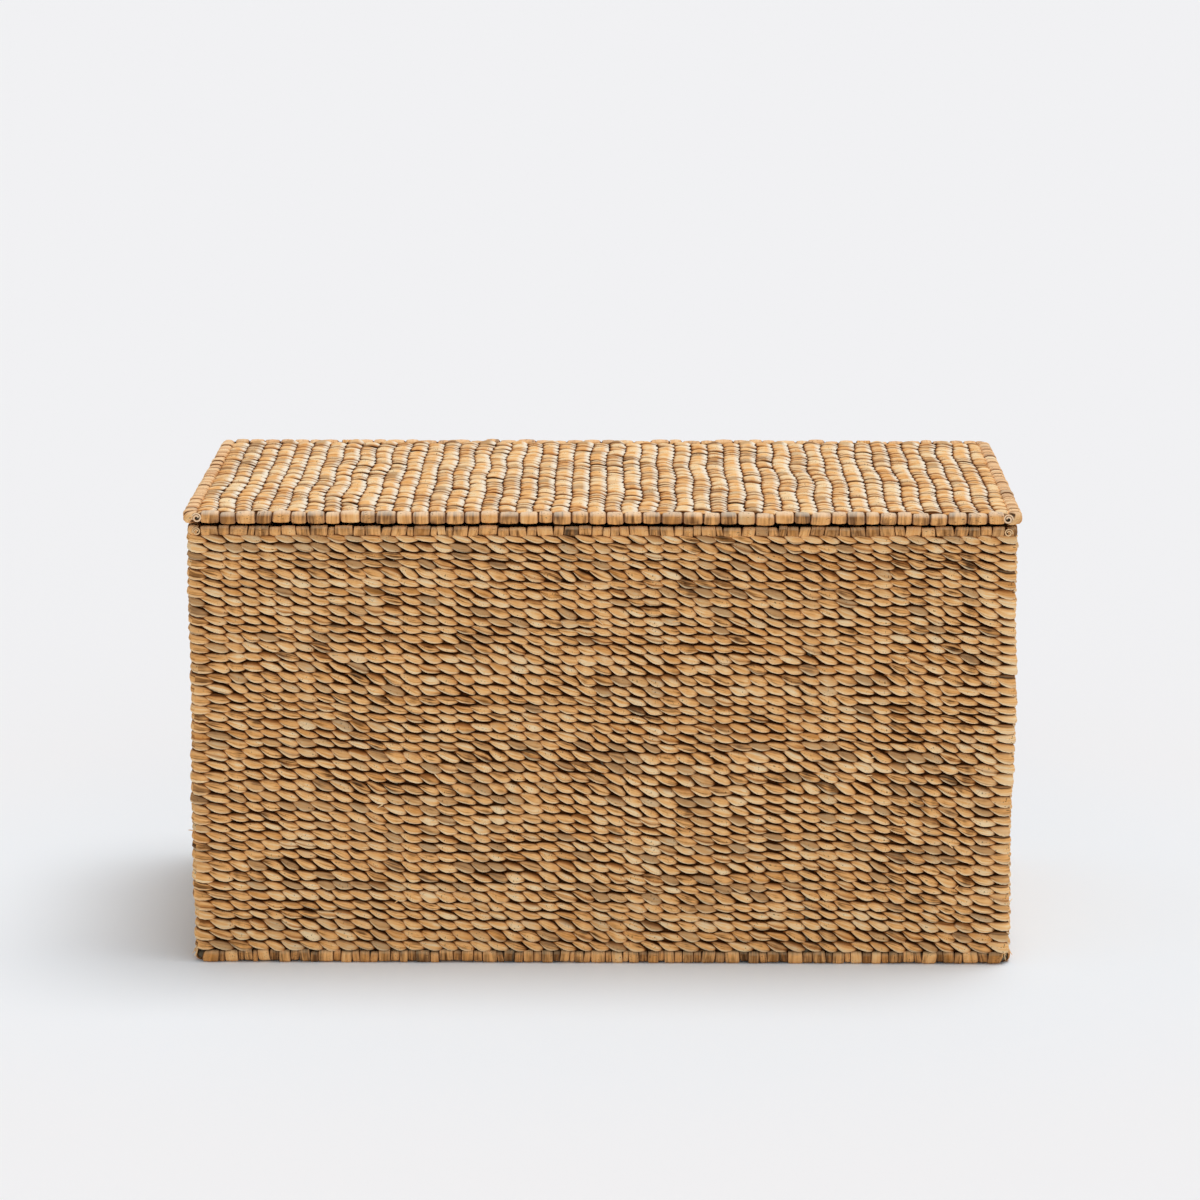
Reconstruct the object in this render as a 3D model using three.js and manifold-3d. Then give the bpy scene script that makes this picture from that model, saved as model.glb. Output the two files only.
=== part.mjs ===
// A woven storage chest with a hinged lid: twined strands over a frame of bent metal rods.
// Millimetres. X is the width, Y runs from front to back, Z is up, and the chest stands on Z = 0.

import * as THREE from 'three';
import { mergeVertices } from 'three/addons/utils/BufferGeometryUtils.js';
import Module from 'manifold-3d';

const wasm = await Module();
wasm.setup();

// Fits
const CLEARANCE = 0.3;

// Chest body
const BODY_WIDTH = 800;
const BODY_DEPTH = 400;
const WALL_THICKNESS = 12;
const WEAVE_HEIGHT = 412.8;
const COURSE_PITCH = 9.6;
const OUTER_RELIEF = 2;
const INNER_RELIEF = 1.5;

// Rod frame
const BEND_RADIUS = 8;
const BASE_ROD = 8;
const RIM_ROD = 6;
const LID_ROD = 6;
const POST_ROD = 5;
const BAR_ROD = 4;
const BAR_SPACING = 200;
const BARS = 3;

// Strand wrapped round the rods
const BASE_WRAP_HEIGHT = 12;
const BASE_WRAP_CORNER = 4;
const RIM_WRAP_SIZE = 10;
const RIM_WRAP_CORNER = 3.5;
const LID_WRAP_CORNER = 3.5;

// Woven panels
const COLUMN_PITCH = 17.4;
const PANEL_RELIEF = 2;
const FLOOR_THICKNESS = 10;

// Lid and its hinge
const LID_THICKNESS = 11;
const LID_OVERHANG = 3;
const LID_GAP = 3.5;
const OPEN_ANGLE = 95;
const HINGE_INSET = 124;
const LASHING_WIDTH = 18;
const LASHING_THICKNESS = 2.2;
const LASHING_SIDE_GAP = 1;

// Facets
const ROD_SIDES = 10;
const BAR_SIDES = 8;
const BEND_STEPS = 2;
const ROUND_STEPS = 1;
const LASHING_STEPS = 6;

// The flat top of a course or column runs between these two shares of its width
const RIDGE_START = 0.22;
const RIDGE_END = 0.78;

// Heights, from the floor up
const baseRodZ = BASE_WRAP_HEIGHT / 2;
const weaveBottom = BASE_WRAP_HEIGHT + CLEARANCE;
const weaveTop = weaveBottom + WEAVE_HEIGHT;
const rimRodZ = weaveTop + CLEARANCE + RIM_WRAP_SIZE / 2;
const lidBottom = rimRodZ + RIM_WRAP_SIZE / 2 + LID_GAP;
const lidRodZ = lidBottom + LID_THICKNESS / 2;

// Plan: the body's rods run in the middle of the wall, the lid's rod in the middle of its edge
const frameX = (BODY_WIDTH - WALL_THICKNESS) / 2;
const frameY = (BODY_DEPTH - WALL_THICKNESS) / 2;
const lidFrameX = BODY_WIDTH / 2 + LID_OVERHANG - LID_THICKNESS / 2;
const lidFrameY = BODY_DEPTH / 2 + LID_OVERHANG - LID_THICKNESS / 2;

const strand = new THREE.MeshStandardMaterial({ color: 0xb98d5a, roughness: 0.85, metalness: 0 });
const paleStrand = new THREE.MeshStandardMaterial({ color: 0xd9b58a, roughness: 0.85, metalness: 0 });
const darkRod = new THREE.MeshStandardMaterial({ color: 0x3b3f3a, roughness: 0.55, metalness: 0.6 });

// Booleans

function toSolid(geometry) {
  const bare = geometry.clone();
  bare.deleteAttribute('normal');
  bare.deleteAttribute('uv');
  const merged = mergeVertices(bare, 1e-4);
  return new wasm.Manifold(new wasm.Mesh({
    numProp: 3,
    vertProperties: new Float32Array(merged.attributes.position.array),
    triVerts: new Uint32Array(merged.index.array),
  }));
}

function toGeometry(solid) {
  const mesh = solid.getMesh();
  const geometry = new THREE.BufferGeometry();
  geometry.setAttribute('position', new THREE.BufferAttribute(new Float32Array(mesh.vertProperties), 3));
  geometry.setIndex(new THREE.BufferAttribute(new Uint32Array(mesh.triVerts), 1));
  geometry.computeVertexNormals();
  return geometry;
}

function cut(geometry, tools) {
  let solid = toSolid(geometry);
  for (const tool of tools) {
    solid = solid.subtract(toSolid(tool));
  }
  return toGeometry(solid);
}

// Sweeps round a rounded rectangle

// Points of the rectangle with the direction that faces out there, anticlockwise from the front right corner
function loopStations(halfX, halfY) {
  const corners = [
    { x: 1, y: -1, start: -90 },
    { x: 1, y: 1, start: 0 },
    { x: -1, y: 1, start: 90 },
    { x: -1, y: -1, start: 180 },
  ];
  return corners.flatMap((corner) => Array.from({ length: BEND_STEPS + 1 }, (_, i) => {
    const angle = THREE.MathUtils.degToRad(corner.start + (90 * i) / BEND_STEPS);
    const out = new THREE.Vector2(Math.cos(angle), Math.sin(angle));
    const centre = new THREE.Vector2(corner.x * (halfX - BEND_RADIUS), corner.y * (halfY - BEND_RADIUS));
    return { out, point: centre.addScaledVector(out, BEND_RADIUS) };
  }));
}

// A closed section, anticlockwise in (outward, up), carried once round the rectangle
function sweepLoop(section, halfX, halfY) {
  const stations = loopStations(halfX, halfY);
  const positions = stations.flatMap(({ out, point }) => section.flatMap(([outward, up]) => [
    point.x + out.x * outward,
    point.y + out.y * outward,
    up,
  ]));
  const index = [];
  for (let s = 0; s < stations.length; s += 1) {
    const here = s * section.length;
    const next = ((s + 1) % stations.length) * section.length;
    for (let p = 0; p < section.length; p += 1) {
      const q = (p + 1) % section.length;
      index.push(here + p, next + p, next + q);
      index.push(here + p, next + q, here + q);
    }
  }
  const geometry = new THREE.BufferGeometry();
  geometry.setAttribute('position', new THREE.Float32BufferAttribute(positions, 3));
  geometry.setIndex(index);
  geometry.computeVertexNormals();
  return geometry;
}

// The round section of a ring's rod, also cut through what is wrapped round it
function rodSection(diameter) {
  return Array.from({ length: ROD_SIDES }, (_, i) => {
    const angle = (2 * Math.PI * i) / ROD_SIDES;
    return new THREE.Vector2(Math.cos(angle), Math.sin(angle)).multiplyScalar(diameter / 2);
  });
}

function rodLoop(halfX, halfY, diameter, z) {
  return sweepLoop(rodSection(diameter).map((point) => [point.x, z + point.y]), halfX, halfY);
}

// Straight rods, each from one end to the other

function upright(x, y, diameter, bottom, top) {
  const geometry = new THREE.CylinderGeometry(diameter / 2, diameter / 2, top - bottom, BAR_SIDES);
  return geometry.rotateX(Math.PI / 2).translate(x, y, (bottom + top) / 2);
}

function crossBar(x, z, diameter, length) {
  return new THREE.CylinderGeometry(diameter / 2, diameter / 2, length, BAR_SIDES).translate(x, 0, z);
}

// Strand wrapped round a straight run of rod: a sleeve with rounded corners, open at both ends

function sleeveShape(width, height, corner, bore) {
  const x = width / 2;
  const y = height / 2;
  const shape = new THREE.Shape();
  shape.moveTo(corner - x, -y);
  shape.lineTo(x - corner, -y);
  shape.absarc(x - corner, corner - y, corner, -Math.PI / 2, 0, false);
  shape.absarc(x - corner, y - corner, corner, 0, Math.PI / 2, false);
  shape.absarc(corner - x, y - corner, corner, Math.PI / 2, Math.PI, false);
  shape.absarc(corner - x, corner - y, corner, Math.PI, 1.5 * Math.PI, false);
  shape.holes.push(new THREE.Path(rodSection(bore).reverse()));
  return shape;
}

// Turns an extrusion so that its shape stands across the run, with the shape's second axis up
function layAlong(geometry, direction) {
  const up = new THREE.Vector3(0, 0, 1);
  const across = new THREE.Vector3().crossVectors(up, direction);
  return geometry.applyMatrix4(new THREE.Matrix4().makeBasis(across, up, direction));
}

const ALONG_X = new THREE.Vector3(1, 0, 0);
const ALONG_Y = new THREE.Vector3(0, 1, 0);

function sleeve(shape, direction, start, end, offset, z) {
  const options = { depth: end - start, bevelEnabled: false, curveSegments: ROUND_STEPS };
  const geometry = layAlong(new THREE.ExtrudeGeometry(shape, options), direction);
  const place = direction.clone().multiplyScalar(start);
  const across = direction === ALONG_X ? ALONG_Y : ALONG_X;
  place.addScaledVector(across, offset).setZ(z);
  return geometry.translate(place.x, place.y, place.z);
}

// The stretches of a run from -half to half that the gaps leave
function stretches(half, gaps, gapWidth) {
  const starts = [-half, ...gaps.map((gap) => gap + gapWidth / 2)];
  const ends = [...gaps.map((gap) => gap - gapWidth / 2), half];
  return starts.map((start, i) => [start, ends[i]]);
}

// Woven panels

// One side of a woven section: a groove, then a ridge with a flat top, for each course or column.
// As many whole ones fill the length as come nearest to the wanted pitch.
function ridges(start, length, wantedPitch, relief) {
  const count = Math.round(length / wantedPitch);
  const pitch = length / count;
  const points = [];
  for (let i = 0; i < count; i += 1) {
    const from = start + i * pitch;
    points.push([from, -relief], [from + RIDGE_START * pitch, 0], [from + RIDGE_END * pitch, 0]);
  }
  points.push([start + length, -relief]);
  return points;
}

function wallSection() {
  const half = WALL_THICKNESS / 2;
  const outer = ridges(weaveBottom, WEAVE_HEIGHT, COURSE_PITCH, OUTER_RELIEF);
  const inner = ridges(weaveBottom, WEAVE_HEIGHT, COURSE_PITCH, INNER_RELIEF).reverse();
  return [
    ...outer.map(([z, rise]) => [half + rise, z]),
    ...inner.map(([z, rise]) => [-half - rise, z]),
  ];
}

// A flat panel whose columns run from front to back on both faces
function columnPanel(halfX, halfY, middleZ, thickness) {
  const across = ridges(-halfX, 2 * halfX, COLUMN_PITCH, PANEL_RELIEF);
  const below = across.map(([x, rise]) => new THREE.Vector2(x, -thickness / 2 - rise));
  const above = across.map(([x, rise]) => new THREE.Vector2(x, thickness / 2 + rise)).reverse();
  const shape = new THREE.Shape([...below, ...above]);
  const geometry = new THREE.ExtrudeGeometry(shape, { depth: 2 * halfY, bevelEnabled: false });
  return layAlong(geometry, ALONG_Y).translate(0, -halfY, middleZ);
}

// Hinge lashing: strand wound round the back rod of the rim and the back rod of the lid

function lashingOutline(path, from, to, radius, clockwise) {
  const lean = Math.atan2(to.y - from.y, to.x - from.x);
  const quarter = Math.PI / 2;
  if (clockwise) {
    path.absarc(to.x, to.y, radius, lean + quarter, lean - quarter, true);
    path.absarc(from.x, from.y, radius, lean - quarter, lean - 3 * quarter, true);
  } else {
    path.absarc(to.x, to.y, radius, lean - quarter, lean + quarter, false);
    path.absarc(from.x, from.y, radius, lean + quarter, lean + 3 * quarter, false);
  }
  return path;
}

const rimRodAt = new THREE.Vector2(frameY, rimRodZ);
const lidRodAt = new THREE.Vector2(lidFrameY, lidRodZ);
const lashingBore = Math.max(RIM_ROD, LID_ROD) / 2 + CLEARANCE;
const lashingOuter = lashingBore + LASHING_THICKNESS;
const lashingSlot = LASHING_WIDTH + 2 * LASHING_SIDE_GAP;

function alongHinge(shape, x, width) {
  const options = { depth: width, bevelEnabled: false, curveSegments: LASHING_STEPS };
  return layAlong(new THREE.ExtrudeGeometry(shape, options), ALONG_X).translate(x - width / 2, 0, 0);
}

function hingeLashing(x) {
  const shape = lashingOutline(new THREE.Shape(), rimRodAt, lidRodAt, lashingOuter, false);
  shape.holes.push(lashingOutline(new THREE.Path(), rimRodAt, lidRodAt, lashingBore, true));
  return alongHinge(shape, x, LASHING_WIDTH);
}

// The room that a lashing takes with the lid shut, and with the lid turned open on the rim's back rod
function shutRoom(x) {
  const shape = lashingOutline(new THREE.Shape(), rimRodAt, lidRodAt, lashingOuter + CLEARANCE, false);
  return alongHinge(shape, x, lashingSlot);
}

function openRoom(x) {
  const room = shutRoom(x).translate(0, -rimRodAt.x, -rimRodAt.y);
  return room.rotateX(-THREE.MathUtils.degToRad(OPEN_ANGLE)).translate(0, rimRodAt.x, rimRodAt.y);
}

// The parts

const chest = new THREE.Group();
const lid = new THREE.Group();

function addPart(group, name, geometry, material) {
  const mesh = new THREE.Mesh(geometry, material);
  mesh.name = name;
  group.add(mesh);
}

const hingePlaces = [HINGE_INSET - frameX, frameX - HINGE_INSET];
const barPlaces = Array.from({ length: BARS }, (_, i) => (i - (BARS - 1) / 2) * BAR_SPACING);

// Rod frame of the body
addPart(chest, 'base_ring', rodLoop(frameX, frameY, BASE_ROD, baseRodZ), darkRod);
addPart(chest, 'rim_ring', rodLoop(frameX, frameY, RIM_ROD, rimRodZ), darkRod);

const rodBottom = baseRodZ + BASE_ROD / 2 + CLEARANCE;
const rodTop = rimRodZ - RIM_ROD / 2 - CLEARANCE;
const cornerInset = BEND_RADIUS * (1 - Math.SQRT1_2);
const posts = [
  { name: 'corner_post_front_left', x: -1, y: -1 },
  { name: 'corner_post_front_right', x: 1, y: -1 },
  { name: 'corner_post_back_left', x: -1, y: 1 },
  { name: 'corner_post_back_right', x: 1, y: 1 },
].map(({ name, x, y }) => ({
  name,
  x: x * (frameX - cornerInset),
  y: y * (frameY - cornerInset),
  rod: POST_ROD,
}));
const uprights = [
  ...barPlaces.map((x, i) => ({ name: `upright_front_${i + 1}`, x, y: -frameY, rod: BAR_ROD })),
  ...barPlaces.map((x, i) => ({ name: `upright_back_${i + 1}`, x, y: frameY, rod: BAR_ROD })),
  { name: 'upright_left', x: -frameX, y: 0, rod: BAR_ROD },
  { name: 'upright_right', x: frameX, y: 0, rod: BAR_ROD },
];
const standing = [...posts, ...uprights];
for (const { name, x, y, rod } of standing) {
  addPart(chest, name, upright(x, y, rod, rodBottom, rodTop), darkRod);
}
// From one ring's middle to the other's, so that the wraps stay whole on their far sides
const standingBores = standing.map(({ x, y, rod }) => upright(x, y, rod + 2 * CLEARANCE, baseRodZ, rimRodZ));

const floorBarLength = 2 * (frameY - BASE_ROD / 2 - CLEARANCE);
barPlaces.forEach((x, i) => {
  addPart(chest, `floor_bar_${i + 1}`, crossBar(x, baseRodZ, BAR_ROD, floorBarLength), darkRod);
});
const floorBores = barPlaces.map((x) => crossBar(x, baseRodZ, BAR_ROD + 2 * CLEARANCE, 2 * frameY));

// Woven body
const lashingRooms = hingePlaces.flatMap((x) => [shutRoom(x), openRoom(x)]);
addPart(
  chest,
  'wall_weave',
  cut(sweepLoop(wallSection(), frameX, frameY), [...standingBores, ...lashingRooms]),
  strand,
);

const floorHalfX = BODY_WIDTH / 2 - WALL_THICKNESS - CLEARANCE;
const floorHalfY = BODY_DEPTH / 2 - WALL_THICKNESS - CLEARANCE;
addPart(
  chest,
  'floor_weave',
  cut(columnPanel(floorHalfX, floorHalfY, baseRodZ, FLOOR_THICKNESS), floorBores),
  strand,
);

// Wraps on the straight runs of one ring. The bends between them stay bare.
function addWraps(group, prefix, shape, halfX, halfY, z, backGaps, tools, material) {
  const runX = halfX - BEND_RADIUS;
  const runY = halfY - BEND_RADIUS;
  const wrap = (direction, start, end, offset) => cut(sleeve(shape, direction, start, end, offset, z), tools);
  addPart(group, `${prefix}_front`, wrap(ALONG_X, -runX, runX, -halfY), material);
  addPart(group, `${prefix}_left`, wrap(ALONG_Y, -runY, runY, -halfX), material);
  addPart(group, `${prefix}_right`, wrap(ALONG_Y, -runY, runY, halfX), material);
  const back = stretches(runX, backGaps, lashingSlot);
  back.forEach(([start, end], i) => {
    const name = back.length > 1 ? `${prefix}_back_${i + 1}` : `${prefix}_back`;
    addPart(group, name, wrap(ALONG_X, start, end, halfY), material);
  });
}

const baseShape = sleeveShape(WALL_THICKNESS, BASE_WRAP_HEIGHT, BASE_WRAP_CORNER, BASE_ROD + 2 * CLEARANCE);
const baseBores = [...standingBores, ...floorBores];
addWraps(chest, 'base_wrap', baseShape, frameX, frameY, baseRodZ, [], baseBores, strand);

const rimShape = sleeveShape(RIM_WRAP_SIZE, RIM_WRAP_SIZE, RIM_WRAP_CORNER, RIM_ROD + 2 * CLEARANCE);
addWraps(chest, 'rim_wrap', rimShape, frameX, frameY, rimRodZ, hingePlaces, standingBores, strand);

// Lid
addPart(lid, 'lid_ring', rodLoop(lidFrameX, lidFrameY, LID_ROD, lidRodZ), darkRod);
const lidBarLength = 2 * (lidFrameY - LID_ROD / 2 - CLEARANCE);
barPlaces.forEach((x, i) => {
  addPart(lid, `lid_bar_${i + 1}`, crossBar(x, lidRodZ, BAR_ROD, lidBarLength), darkRod);
});
const lidBores = barPlaces.map((x) => crossBar(x, lidRodZ, BAR_ROD + 2 * CLEARANCE, 2 * lidFrameY));

const lidHalfX = lidFrameX - LID_THICKNESS / 2 - CLEARANCE;
const lidHalfY = lidFrameY - LID_THICKNESS / 2 - CLEARANCE;
addPart(
  lid,
  'lid_weave',
  cut(columnPanel(lidHalfX, lidHalfY, lidRodZ, LID_THICKNESS), [...lidBores, ...hingePlaces.map(shutRoom)]),
  paleStrand,
);

const lidShape = sleeveShape(LID_THICKNESS, LID_THICKNESS, LID_WRAP_CORNER, LID_ROD + 2 * CLEARANCE);
addWraps(lid, 'lid_wrap', lidShape, lidFrameX, lidFrameY, lidRodZ, hingePlaces, lidBores, paleStrand);

hingePlaces.forEach((x, i) => {
  addPart(lid, `hinge_lashing_${i + 1}`, hingeLashing(x), strand);
});

const wovenChest = new THREE.Group();
wovenChest.name = 'woven_chest';
wovenChest.add(chest, lid);

export default wovenChest;
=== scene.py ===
# %% [markdown]
# # A woven storage chest
#
# The real chest is a frame of thin metal rods, filled with strands of dried water hyacinth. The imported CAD
# model already holds every rod and panel at its real size, so this lesson only dresses it: each plain
# panel is replaced by the strands that it stands for, and each strand gets the look of a dried plant stem.
#
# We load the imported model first. It is the frame that all later pieces are placed in, in metres.

import math
from typing import NamedTuple

import bmesh
import bpy
import numpy as np
from mathutils import Matrix, Vector


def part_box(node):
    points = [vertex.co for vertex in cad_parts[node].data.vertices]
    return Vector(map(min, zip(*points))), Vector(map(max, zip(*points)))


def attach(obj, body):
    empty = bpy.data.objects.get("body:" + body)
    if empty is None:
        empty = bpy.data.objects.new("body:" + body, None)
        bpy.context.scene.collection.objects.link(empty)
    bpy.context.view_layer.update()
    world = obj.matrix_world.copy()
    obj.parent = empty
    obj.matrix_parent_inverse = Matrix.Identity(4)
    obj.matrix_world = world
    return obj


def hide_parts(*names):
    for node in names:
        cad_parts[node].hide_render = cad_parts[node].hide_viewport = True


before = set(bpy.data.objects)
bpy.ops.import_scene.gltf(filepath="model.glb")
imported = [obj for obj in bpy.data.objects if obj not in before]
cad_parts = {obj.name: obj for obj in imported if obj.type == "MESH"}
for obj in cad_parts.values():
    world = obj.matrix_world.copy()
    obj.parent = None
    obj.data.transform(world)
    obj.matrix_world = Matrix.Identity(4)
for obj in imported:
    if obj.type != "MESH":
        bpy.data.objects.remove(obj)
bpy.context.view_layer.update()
MM = 0.001

# %% [markdown]
# ## Camera, light and floor
#
# The photograph was taken with a long lens from almost straight ahead and a little above the lid. Setting
# the camera up before anything else means that every test render can be laid beside the photograph.

# %% Camera
CAMERA_PLACE = Vector((0.0384, -4.0884, 1.2107))
CAMERA_AIM = Vector((-0.0022, -0.18, 0.3601))
LENS_MM = 124.3
SENSOR_MM = 36
FAR_CLIP = 500

scene = bpy.context.scene
lens = bpy.data.cameras.new("studio_camera")
lens.lens = LENS_MM
lens.sensor_width = SENSOR_MM
lens.clip_end = FAR_CLIP
camera = bpy.data.objects.new("studio_camera", lens)
camera.location = CAMERA_PLACE
camera.rotation_euler = (CAMERA_AIM - CAMERA_PLACE).to_track_quat("-Z", "Y").to_euler()
scene.collection.objects.link(camera)
scene.camera = camera
scene.view_settings.view_transform = "Standard"
print("camera", round((CAMERA_AIM - CAMERA_PLACE).length, 2), "m from its aim")

# %% [markdown]
# The studio is bright all round. A large soft key lamp hangs almost overhead, a little behind the chest and
# to its right. It brightens the lid and lets a soft shadow fall to the left and to the front, and a weak
# fill lamp in front keeps the wall from going dull. Sun lamps light a very large floor evenly, which area
# lamps would not, and their angles set how soft the shadows are. The world gives the light that comes from
# everywhere else.

# %% Light
SKY_COLOUR = (1, 1, 1, 1)
SKY_LIGHT = 0.42
# Each lamp has its strength, the direction that its light comes from and its softness in degrees.
LAMPS = {
    "key_lamp": (1.6, Vector((0.22, 0.1, 0.97)), 32),
    "fill_lamp": (0.4, Vector((0.1, -0.9, 0.42)), 60),
}

world = bpy.data.worlds.new("studio")
world.use_nodes = True
sky = world.node_tree.nodes["Background"]
sky.inputs["Color"].default_value = SKY_COLOUR
sky.inputs["Strength"].default_value = SKY_LIGHT
scene.world = world
for lamp_name, (power, came_from, softness) in LAMPS.items():
    lamp = bpy.data.lights.new(lamp_name, "SUN")
    lamp.energy = power
    lamp.angle = math.radians(softness)
    lamp_object = bpy.data.objects.new(lamp_name, lamp)
    lamp_object.rotation_euler = came_from.to_track_quat("Z", "Y").to_euler()
    scene.collection.objects.link(lamp_object)
    print(lamp_name, round(math.degrees(math.asin(came_from.normalized().z))), "degrees above the floor")

# %% [markdown]
# ## Sockets that do arithmetic
#
# A material is a graph of nodes, and writing one link by link is hard to read. This class wraps an output
# socket so that ordinary Python arithmetic adds the Math nodes, and one method adds any other node. Most
# sockets are found by name. A few share a name with others, so these are counted from 0.

# %% Socket class
OBJECT_OUTPUT = 3
FACTOR_OUTPUT = 2
LENGTH_OUTPUT = 1
MIX_FACTOR, MIX_FIRST, MIX_SECOND = 0, 6, 7
MIXED_OUTPUT = 2


class Wire:
    """An output socket, or a bare node tree to start from."""

    def __init__(self, tree, socket=None):
        self.tree = tree
        self.socket = socket

    def feed(self, target, value):
        """Puts a number, a colour or another wire into an input socket."""
        if isinstance(value, Wire):
            self.tree.links.new(value.socket, target)
        else:
            target.default_value = value

    def node(self, kind, settings=None, values=None, output=0):
        """Adds a node, sets it up, fills its inputs and wraps one of its outputs."""
        made = self.tree.nodes.new(kind)
        for key, value in (settings or {}).items():
            if key == "stops":
                ramp = made.color_ramp
                while len(ramp.elements) < len(value):
                    ramp.elements.new(1)
                for stop, (place, colour) in zip(ramp.elements, value):
                    stop.position = place
                    stop.color = colour
            else:
                setattr(made, key, value)
        for key, value in (values or {}).items():
            self.feed(made.inputs[key], value)
        return Wire(self.tree, made.outputs[output])

    def maths(self, operation, first, second):
        return self.node("ShaderNodeMath", {"operation": operation}, {0: first, 1: second})

    def __add__(self, other):
        return self.maths("ADD", self, other)

    __radd__ = __add__

    def __sub__(self, other):
        return self.maths("SUBTRACT", self, other)

    def __rsub__(self, other):
        return self.maths("SUBTRACT", other, self)

    def __mul__(self, other):
        return self.maths("MULTIPLY", self, other)

    __rmul__ = __mul__

    def between(self, low, high):
        """0 below low, 1 above high and smooth in between."""
        return self.node(
            "ShaderNodeMapRange",
            {"interpolation_type": "SMOOTHSTEP"},
            {"Value": self, "From Min": low, "From Max": high},
        )

    def mix(self, first, second, blend="MIX"):
        """A colour that goes from first to second as this wire goes from 0 to 1."""
        settings = {"data_type": "RGBA", "blend_type": blend}
        values = {MIX_FACTOR: self, MIX_FIRST: first, MIX_SECOND: second}
        return self.node("ShaderNodeMix", settings, values, MIXED_OUTPUT)


def new_finish(name):
    """A material with its shader node and a wire to start its graph from."""
    finish = bpy.data.materials.new(name)
    finish.use_nodes = True
    return finish, finish.node_tree.nodes["Principled BSDF"], Wire(finish.node_tree)


print("sockets take part in sums")

# %% [markdown]
# The floor is one pale sheet, much larger than the picture, so that no horizon shows behind the chest. It
# is a little cooler close to the chest, which makes up for the warm light that the strands throw on it.

# %% Floor
FLOOR_REACH = 120
FLOOR_COLOUR = (0.908, 0.909, 0.925, 1)
NEAR_COLOUR = (0.878, 0.927, 0.980, 1)
NEAR_REACH_X = 0.9
NEAR_REACH_Y = 0.7
NEAR_FADE = (0.4, 1.2)
FLOOR_ROUGHNESS = 0.9


def put_mesh(name, shape):
    """Makes an object at the origin from a bmesh, and frees the bmesh."""
    mesh = bpy.data.meshes.new(name)
    shape.to_mesh(mesh)
    shape.free()
    piece = bpy.data.objects.new(name, mesh)
    scene.collection.objects.link(piece)
    return piece


paper, paper_shader, paper_start = new_finish("studio_paper")
paper_place = paper_start.node("ShaderNodeTexCoord", output=OBJECT_OUTPUT)
near_size = {"Vector": paper_place, "Scale": (1 / NEAR_REACH_X, 1 / NEAR_REACH_Y, 1)}
near_spot = paper_start.node("ShaderNodeMapping", {}, near_size)
away = paper_start.node("ShaderNodeVectorMath", {"operation": "LENGTH"}, {0: near_spot}, LENGTH_OUTPUT)
far = away.between(*NEAR_FADE)
paper_start.feed(paper_shader.inputs["Base Color"], far.mix(NEAR_COLOUR, FLOOR_COLOUR))
paper_shader.inputs["Roughness"].default_value = FLOOR_ROUGHNESS
paper_shader.inputs["Specular IOR Level"].default_value = 0
sheet = bmesh.new()
bmesh.ops.create_grid(sheet, x_segments=2, y_segments=2, size=FLOOR_REACH)
floor = put_mesh("studio_floor", sheet)
floor.data.materials.append(paper)
print("floor", 2 * FLOOR_REACH, "m across")

# %% [markdown]
# ## Dried strands
#
# Water hyacinth dries to a soft tan stem. Some stems are straw pale, some are orange where they were close
# to the root, and some go grey-brown. Folded edges are paler, and with a painted highlight on them they look
# almost white on the lid. Where a stem dips under another, painted shade darkens it, first warmly and then
# almost to black. The palette goes from the darkest tone of a stem to the palest.

# %% Strand colours
PALETTE = [
    (0.00, (0.050, 0.021, 0.007, 1)),
    (0.22, (0.270, 0.118, 0.037, 1)),
    (0.50, (0.880, 0.445, 0.152, 1)),
    (0.75, (0.990, 0.590, 0.253, 1)),
    (1.00, (1.000, 0.755, 0.450, 1)),
]
GREY_STEM = (0.440, 0.254, 0.120, 1)
ORANGE_STEM = (0.720, 0.310, 0.075, 1)
# Pale folded edges with a painted highlight on them, for the walls and for the lid.
WALL_FOLD_HIGHLIGHT = (1.000, 0.830, 0.540, 1)
LID_FOLD_HIGHLIGHT = (1.000, 0.900, 0.730, 1)
# The deepest painted shade, a colour that the stem's own dark specks share.
SPECK_AND_DEEP_SHADE = (0.022, 0.008, 0.002, 1)
# A warm painted shade that a stem takes on where it starts to dip under another.
WARM_SHADE = (0.520, 0.260, 0.095, 1)
print("a stem has", len(PALETTE), "tones from dark to pale")

# %% [markdown]
# Fine fibres run along each stem, and small dark specks sit on it. A painted picture would repeat itself, so
# both are made with noise. One function makes four such finishes, for the walls, the lid and the strand
# wound round their edges. As attributes, a finish reads the tone and the warmth that each stitch carries,
# how much painted shade falls on it (most where it dips under another), and how strong the painted highlight
# on its folded edges is. It also reads a map that runs along the strand, so that the fibres follow every
# bend.

# %% Strand finish
# Third value: painted light, low where painted shade falls. Fourth: the painted highlight on folded edges.
STITCH_VALUES = ("tone", "warmth", "height", "rim")
FIBRES_PER_M = 700
FIBRE_LENGTH_PER_M = 40
FOLDS_PER_M = 230
FOLD_LENGTH_PER_M = 26
BLOTCHES_PER_M = 60
SPECKS_PER_M = 520
NOISE_MIDDLE = 0.5
FIBRE_MARK, FOLD_MARK, BLOTCH_MARK = 0.55, 0.5, 0.4
WARMTH_FADE = (0.2, 1.0)
HIGHLIGHT_FIBRE_FADE = (0.05, 0.4)
SPECK_FADE = (0.66, 0.75)
SPECK_PATCHES = (0.5, 0.6)
# How the warm and the black painted shade fade in as the painted light drops.
WARM_SHADE_FADE = (0.2, 1.0)
BLACK_SHADE_FADE = (0.05, 0.8)
GREY_MOST = 0.7
ORANGE_MOST = 0.5
SPECK_MOST = 0.6
SHADE_MOST = 0.96
SMOOTHEST = 0.46
FIBRE_ROUGHNESS = 0.3
FIBRE_RELIEF, FOLD_RELIEF, BLOTCH_RELIEF = 0.7, 1.1, 0.4
RELIEF_STRENGTH = 0.6
RELIEF_DEPTH = 0.9 * MM


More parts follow.
